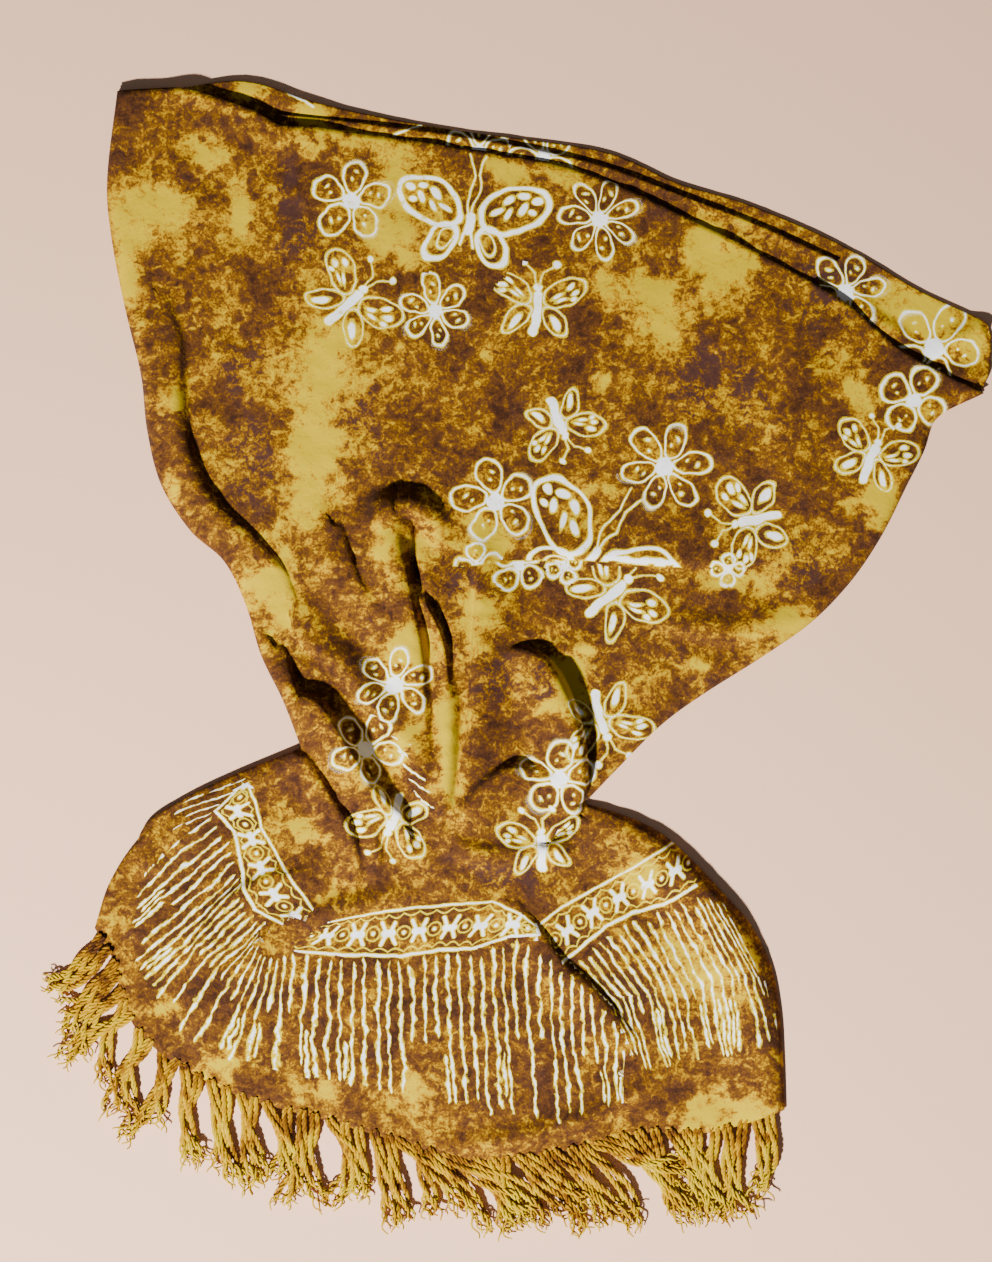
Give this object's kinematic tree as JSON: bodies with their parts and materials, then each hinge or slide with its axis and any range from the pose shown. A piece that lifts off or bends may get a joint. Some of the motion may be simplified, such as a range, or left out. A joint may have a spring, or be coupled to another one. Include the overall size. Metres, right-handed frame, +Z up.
{
  "type": "sarong",
  "caption": "Fringed batik sarong laid flat and doubled, its cloth fanned out above a gathered waist and spread in a bell to the knotted fringe below.",
  "frame": {"origin": "centre of the bounding box, on the surface the cloth lies on", "axes": "+Z up off the surface; +Y from the fringe towards the fanned end; +X towards the fan's right-hand corner"},
  "size_m": [0.6255, 0.76, 0.0297],
  "materials": {
    "front_cloth": "matte wax-resist cloth, bright yellow under mottled brown, drawn in white",
    "back_cloth": "matte wax-resist cloth, yellow and brown",
    "fringe_yarn": "matte plied yarn, yellow and brown"
  },
  "bodies": {
    "root": {"back_fan": "back_cloth", "middle_fan": "back_cloth", "front_fan": "front_cloth", "back_bell": "back_cloth", "front_bell": "front_cloth", "fringe_corner": "fringe_yarn", "fringe_left": "fringe_yarn", "fringe_middle": "fringe_yarn", "fringe_right": "fringe_yarn", "fringe_end": "fringe_yarn"}
  },
  "joints": []
}
